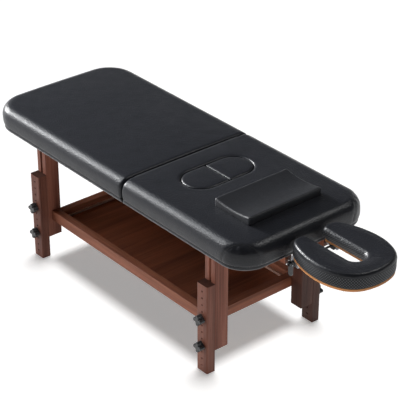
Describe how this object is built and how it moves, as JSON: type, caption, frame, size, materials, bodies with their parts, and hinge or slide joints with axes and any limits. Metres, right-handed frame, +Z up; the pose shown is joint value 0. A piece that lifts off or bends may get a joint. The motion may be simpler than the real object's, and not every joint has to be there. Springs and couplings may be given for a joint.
{
  "type": "massage table",
  "caption": "Stationary wooden massage table with a padded top, lifting backrest section, lift-out breath plugs, loose pillow, tilting face cradle, storage tray and bolted leg extensions.",
  "frame": {"origin": "on the floor, under the middle of the whole table with its face cradle fitted", "axes": "+X along the table towards the face cradle, +Y across to the far long side, +Z up"},
  "size_m": [2.2789, 0.76, 0.7999],
  "materials": {
    "vinyl": "satin",
    "stained_wood": "satin",
    "panel_wood": "satin",
    "bead_wood": "satin",
    "plywood": "matte",
    "black_plastic": "satin",
    "black_steel": "satin",
    "steel": "satin",
    "grey_metal": "satin"
  },
  "bodies": {
    "table_frame": {"post_foot_near": "stained_wood", "post_foot_far": "stained_wood", "post_head_near": "stained_wood", "post_head_far": "stained_wood", "leg_bolts": "steel", "tray_rail_near": "stained_wood", "tray_rail_far": "stained_wood", "tray_rail_foot": "stained_wood", "tray_rail_head": "stained_wood", "tray_panel": "panel_wood", "tray_beads": "bead_wood", "apron_near": "stained_wood", "apron_far": "stained_wood", "apron_foot": "stained_wood", "apron_head": "stained_wood", "seam_bearer": "stained_wood", "foot_deck": "plywood", "foot_pad": "vinyl", "foot_edge_board": "plywood", "hinge_leaf_foot": "steel", "hinge_pin": "steel", "prop_racks": "stained_wood"},
    "backrest": {"head_deck": "plywood", "head_pad": "vinyl", "head_edge_board": "plywood", "hinge_leaf_head": "steel", "cradle_socket_near": "stained_wood", "cradle_socket_far": "stained_wood", "prop_ears": "black_steel"},
    "prop": {"prop_bar": "black_steel"},
    "plug_near": {"plug_near": "vinyl"},
    "plug_far": {"plug_far": "vinyl"},
    "pillow": {"pillow": "vinyl"},
    "cradle_base": {"cradle_rod_near": "steel", "cradle_rod_far": "steel", "cradle_knuckle_near": "black_steel", "cradle_knuckle_far": "black_steel", "cradle_pivot_rod": "steel", "cradle_pivot_nut": "steel", "cam_pin": "steel"},
    "cradle_head": {"cradle_arm_near": "grey_metal", "cradle_arm_far": "grey_metal", "cradle_spacers": "black_plastic", "cradle_platform": "plywood", "cradle_cushion": "vinyl"},
    "cam_lever": {"cam_lever": "black_plastic"},
    "extension_foot_near": {"extension_foot_near": "stained_wood"},
    "extension_foot_far": {"extension_foot_far": "stained_wood"},
    "extension_head_near": {"extension_head_near": "stained_wood"},
    "extension_head_far": {"extension_head_far": "stained_wood"},
    "knob_foot_near_lower": {"knob_foot_near_lower": "black_plastic"},
    "knob_foot_near_upper": {"knob_foot_near_upper": "black_plastic"},
    "knob_foot_far_lower": {"knob_foot_far_lower": "black_plastic"},
    "knob_foot_far_upper": {"knob_foot_far_upper": "black_plastic"},
    "knob_head_near_lower": {"knob_head_near_lower": "black_plastic"},
    "knob_head_near_upper": {"knob_head_near_upper": "black_plastic"},
    "knob_head_far_lower": {"knob_head_far_lower": "black_plastic"},
    "knob_head_far_upper": {"knob_head_far_upper": "black_plastic"}
  },
  "joints": [
    {"name": "backrest_tilt", "type": "hinge", "parent": "table_frame", "child": "backrest", "pos_m": [-0.094, 0, 0.748], "axis": [0, -1, 0], "range_deg": [0, 60]},
    {"name": "prop_swing", "type": "hinge", "parent": "backrest", "child": "prop", "pos_m": [0.076, 0, 0.625], "axis": [0, 1, 0], "range_deg": [0, 110]},
    {"name": "plug_near_lift", "type": "slide", "parent": "backrest", "child": "plug_near", "axis": [0, 0, 1], "range_m": [0, 0.12]},
    {"name": "plug_far_lift", "type": "slide", "parent": "backrest", "child": "plug_far", "axis": [0, 0, 1], "range_m": [0, 0.12]},
    {"name": "pillow_lift", "type": "slide", "parent": "backrest", "child": "pillow", "axis": [0, 0, 1], "range_m": [0, 0.15]},
    {"name": "cradle_slide", "type": "slide", "parent": "backrest", "child": "cradle_base", "axis": [1, 0, 0], "range_m": [0, 0.14]},
    {"name": "cradle_tilt", "type": "hinge", "parent": "cradle_base", "child": "cradle_head", "pos_m": [0.744, 0, 0.628], "axis": [0, 1, 0], "range_deg": [-5, 35]},
    {"name": "cam_lever_throw", "type": "hinge", "parent": "cradle_base", "child": "cam_lever", "pos_m": [0.744, -0.1296, 0.628], "axis": [-1, 0, 0], "range_deg": [0, 90]},
    {"name": "leg_foot_near_height", "type": "slide", "parent": "table_frame", "child": "extension_foot_near", "axis": [0, 0, 1], "range_m": [-0.105, 0.105]},
    {"name": "leg_foot_far_height", "type": "slide", "parent": "table_frame", "child": "extension_foot_far", "axis": [0, 0, 1], "range_m": [-0.105, 0.105]},
    {"name": "leg_head_near_height", "type": "slide", "parent": "table_frame", "child": "extension_head_near", "axis": [0, 0, 1], "range_m": [-0.105, 0.105]},
    {"name": "leg_head_far_height", "type": "slide", "parent": "table_frame", "child": "extension_head_far", "axis": [0, 0, 1], "range_m": [-0.105, 0.105]},
    {"name": "knob_foot_near_lower_turn", "type": "hinge", "parent": "table_frame", "child": "knob_foot_near_lower", "pos_m": [-0.843, -0.35, 0.139], "axis": [0, -1, 0], "continuous": true},
    {"name": "knob_foot_near_upper_turn", "type": "hinge", "parent": "table_frame", "child": "knob_foot_near_upper", "pos_m": [-0.843, -0.35, 0.279], "axis": [0, -1, 0], "continuous": true},
    {"name": "knob_foot_far_lower_turn", "type": "hinge", "parent": "table_frame", "child": "knob_foot_far_lower", "pos_m": [-0.843, 0.35, 0.139], "axis": [0, 1, 0], "continuous": true},
    {"name": "knob_foot_far_upper_turn", "type": "hinge", "parent": "table_frame", "child": "knob_foot_far_upper", "pos_m": [-0.843, 0.35, 0.279], "axis": [0, 1, 0], "continuous": true},
    {"name": "knob_head_near_lower_turn", "type": "hinge", "parent": "table_frame", "child": "knob_head_near_lower", "pos_m": [0.419, -0.35, 0.139], "axis": [0, -1, 0], "continuous": true},
    {"name": "knob_head_near_upper_turn", "type": "hinge", "parent": "table_frame", "child": "knob_head_near_upper", "pos_m": [0.419, -0.35, 0.279], "axis": [0, -1, 0], "continuous": true},
    {"name": "knob_head_far_lower_turn", "type": "hinge", "parent": "table_frame", "child": "knob_head_far_lower", "pos_m": [0.419, 0.35, 0.139], "axis": [0, 1, 0], "continuous": true},
    {"name": "knob_head_far_upper_turn", "type": "hinge", "parent": "table_frame", "child": "knob_head_far_upper", "pos_m": [0.419, 0.35, 0.279], "axis": [0, 1, 0], "continuous": true}
  ]
}
